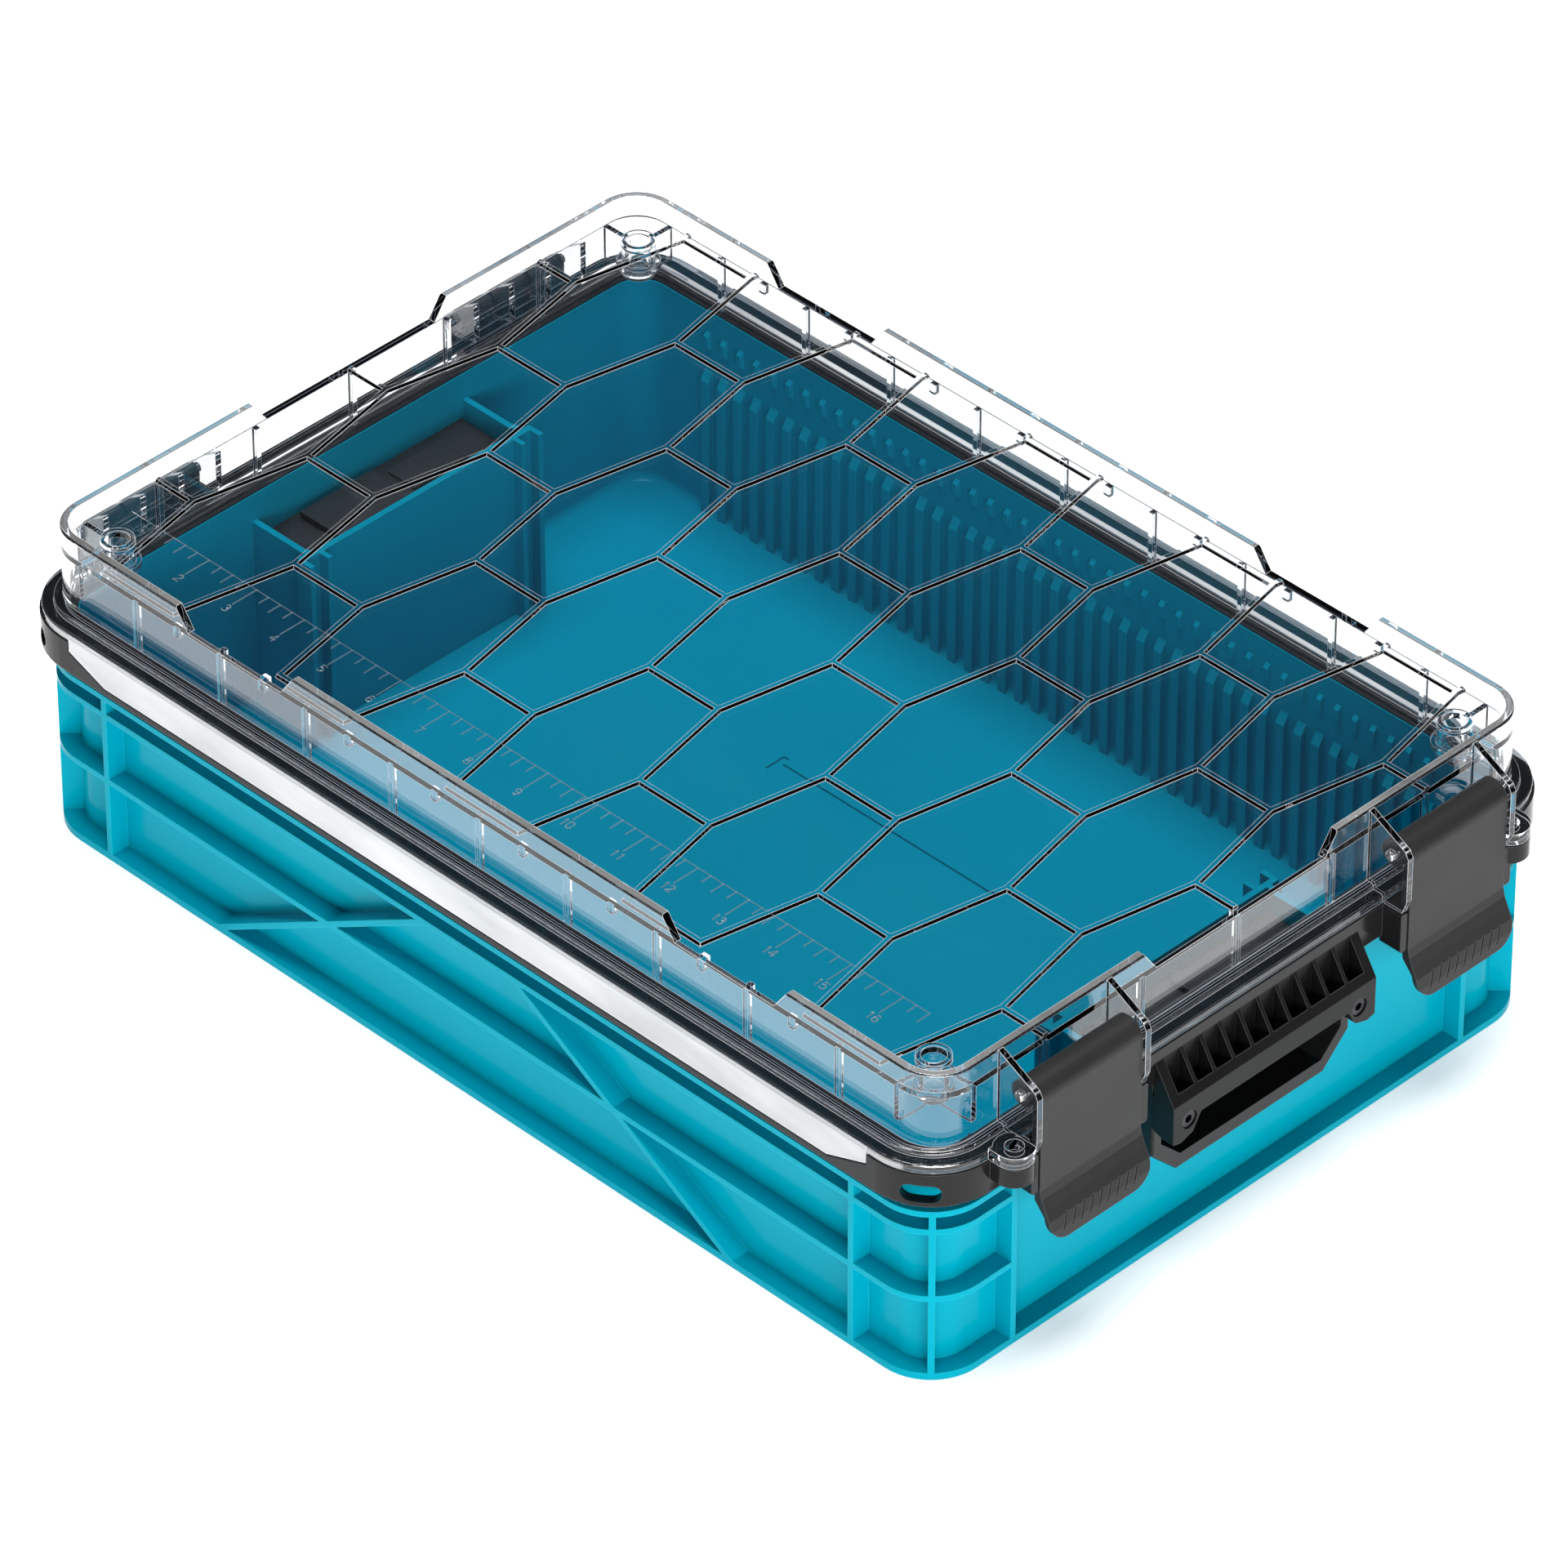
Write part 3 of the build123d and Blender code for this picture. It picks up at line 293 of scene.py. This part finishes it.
# ---------------------------------------------------------------- ruler moulded on the lid's panel
GLYPHS = {
    "0": [[(.1, .2), (.1, .8), (.25, 1), (.5, 1), (.65, .8), (.65, .2), (.5, 0), (.25, 0), (.1, .2)]],
    "1": [[(.2, .8), (.42, 1), (.42, 0)]],
    "2": [[(.1, .78), (.25, 1), (.5, 1), (.65, .8), (.6, .58), (.08, 0), (.68, 0)]],
    "3": [[(.1, .85), (.28, 1), (.5, 1), (.63, .85), (.6, .62), (.4, .53)],
          [(.4, .53), (.62, .42), (.66, .18), (.5, 0), (.25, 0), (.08, .16)]],
    "4": [[(.52, 0), (.52, 1), (.08, .3), (.7, .3)]],
    "5": [[(.62, 1), (.16, 1), (.12, .55), (.4, .62), (.62, .48), (.65, .2), (.5, 0), (.22, 0), (.08, .12)]],
    "6": [[(.58, .9), (.42, 1), (.24, .94), (.1, .6), (.1, .2), (.25, 0), (.5, 0), (.65, .2), (.62, .45),
           (.45, .58), (.22, .54), (.1, .38)]],
    "7": [[(.08, 1), (.68, 1), (.3, 0)]],
    "8": [[(.38, .54), (.14, .7), (.14, .88), (.28, 1), (.48, 1), (.62, .88), (.62, .7), (.38, .54),
           (.1, .38), (.08, .14), (.24, 0), (.52, 0), (.68, .14), (.66, .38), (.38, .54)]],
    "9": [[(.16, .1), (.3, 0), (.5, .06), (.64, .4), (.64, .8), (.5, 1), (.24, 1), (.1, .82), (.12, .56),
           (.3, .44), (.52, .48), (.64, .62)]],
}
INCH = 25.4 * MM
RULER_ZERO_Y = 227.6 * MM
RULER_LINE_X = -117.2 * MM
RULER_FOOT_X = -129.2 * MM
RULER_LAST = 16
LINE_W = 0.34 * MM
PANEL_TOP = 126.0 * MM
RULER_LOW = PANEL_TOP + 0.015 * MM
RULER_TOP = PANEL_TOP + 0.32 * MM
DIGIT = 3.7 * MM                # height of the digits
DIGIT_STEP = 0.8                # space that each digit takes, in digit heights
DIGIT_DROP = 4.9 * MM           # foot of the digits below the long marks
ONE_MARK = 6.6 * MM             # lengths of the first inch's mark, the halves and the quarters
HALF_MARK = 6.2 * MM
QUARTER_MARK = 4.7 * MM


def number(bm, text, x, y):
    """A number that reads from the -X side: its top towards +X, and left to right along -Y."""
    width = DIGIT_STEP * DIGIT
    for index, digit in enumerate(text):
        start = y + (len(text) / 2 - index) * width
        for line in GLYPHS[digit]:
            spots = [(x + v * DIGIT, start - (u + 0.02) * DIGIT) for u, v in line]
            for a, b in zip(spots, spots[1:]):
                stroke(bm, a, b, LINE_W, RULER_LOW, RULER_TOP)


def ruler():
    bm = bmesh.new()
    last = RULER_ZERO_Y - (RULER_LAST + 0.5) * INCH
    first = RULER_ZERO_Y - 0.35 * INCH
    stroke(bm, (RULER_LINE_X, first), (RULER_LINE_X, last), LINE_W * 0.6, RULER_LOW, RULER_TOP)
    for quarter in range(2, 4 * RULER_LAST + 3):
        y = RULER_ZERO_Y - quarter * INCH / 4
        reach = {0: RULER_LINE_X - RULER_FOOT_X, 2: HALF_MARK}.get(quarter % 4, QUARTER_MARK)
        if quarter == 4:
            reach = ONE_MARK
        stroke(bm, (RULER_LINE_X, y), (RULER_LINE_X - reach, y), LINE_W, RULER_LOW, RULER_TOP)
    for inch in range(2, RULER_LAST + 1):
        number(bm, str(inch), RULER_FOOT_X - DIGIT_DROP, RULER_ZERO_Y - inch * INCH)
    return piece("lid_ruler", bm, CLEAR_MARKS, "lid")


ruler()


# ---------------------------------------------------------------- studio
FLOOR_GLOW = 0.50
FLOOR_HALF = 9.0
FLOOR_DROP = 0.2 * MM
SKY_COLOUR = (0.86, 0.93, 1.0)
SKY_STRENGTH = 0.04
CAMERA_PLACE = (-2.2960, -2.3075, 2.6189)
CAMERA_TURN = (44.886, 38.219, -0.054)      # azimuth, elevation and roll in degrees
CAMERA_LENS = 260.26


def floor_material():
    n = Nodes("floor_pale")
    tone = n.span(n.noise(1.6, 3.0), 0.3, 0.7, 0.86, 0.90)
    colour = n.add("ShaderNodeCombineColor")
    for key in ("Red", "Green", "Blue"):
        n.put(colour.inputs[key], tone)
    body = n.shader(Base_Color=colour.outputs[0], Roughness=0.7)
    body.inputs["Specular IOR Level"].default_value = 0.1
    n.put(body.inputs["Emission Color"], colour.outputs[0])
    body.inputs["Emission Strength"].default_value = FLOOR_GLOW
    return n.finish(body.outputs[0])


def floor():
    bm = bmesh.new()
    bmesh.ops.create_grid(bm, x_segments=8, y_segments=8, size=FLOOR_HALF)
    mesh = bpy.data.meshes.new("floor")
    bm.to_mesh(mesh)
    bm.free()
    obj = bpy.data.objects.new("floor", mesh)
    bpy.context.scene.collection.objects.link(obj)
    obj.location.z = -FLOOR_DROP
    obj.data.materials.append(floor_material())


def lamp(name, place, aim, size, power):
    data = bpy.data.lights.new(name, "AREA")
    data.shape = "RECTANGLE"
    data.size, data.size_y = size
    data.energy = power
    obj = bpy.data.objects.new(name, data)
    obj.location = place
    obj.rotation_euler = (Vector(aim) - Vector(place)).to_track_quat("-Z", "Y").to_euler()
    bpy.context.scene.collection.objects.link(obj)


def camera():
    """A long lens, down the box's near corner."""
    azimuth, elevation, roll = (math.radians(angle) for angle in CAMERA_TURN)
    level = math.cos(elevation)
    forward = Vector((math.sin(azimuth) * level, math.cos(azimuth) * level, -math.sin(elevation)))
    data = bpy.data.cameras.new("camera")
    data.sensor_width = 36.0
    data.lens = CAMERA_LENS
    data.clip_start, data.clip_end = 0.1, 60.0
    obj = bpy.data.objects.new("camera", data)
    obj.location = CAMERA_PLACE
    turn = forward.to_track_quat("-Z", "Y").to_matrix() @ Matrix.Rotation(roll, 3, "Z")
    obj.rotation_euler = turn.to_euler()
    bpy.context.scene.collection.objects.link(obj)
    bpy.context.scene.camera = obj


def world():
    sky = bpy.data.worlds.new("studio")
    sky.use_nodes = True
    sky.node_tree.nodes["Background"].inputs["Color"].default_value = rgb(*SKY_COLOUR)
    sky.node_tree.nodes["Background"].inputs["Strength"].default_value = SKY_STRENGTH
    bpy.context.scene.world = sky


floor()
world()
lamp("top", (0.0, 0.0, 3.4), (0.0, 0.0, 0.0), (2.2, 2.2), 165.0)
lamp("key", (-1.8, -2.8, 0.6), (0.0, 0.0, 0.05), (2.8, 0.8), 77.0)
camera()
bpy.context.scene.view_settings.view_transform = "Standard"
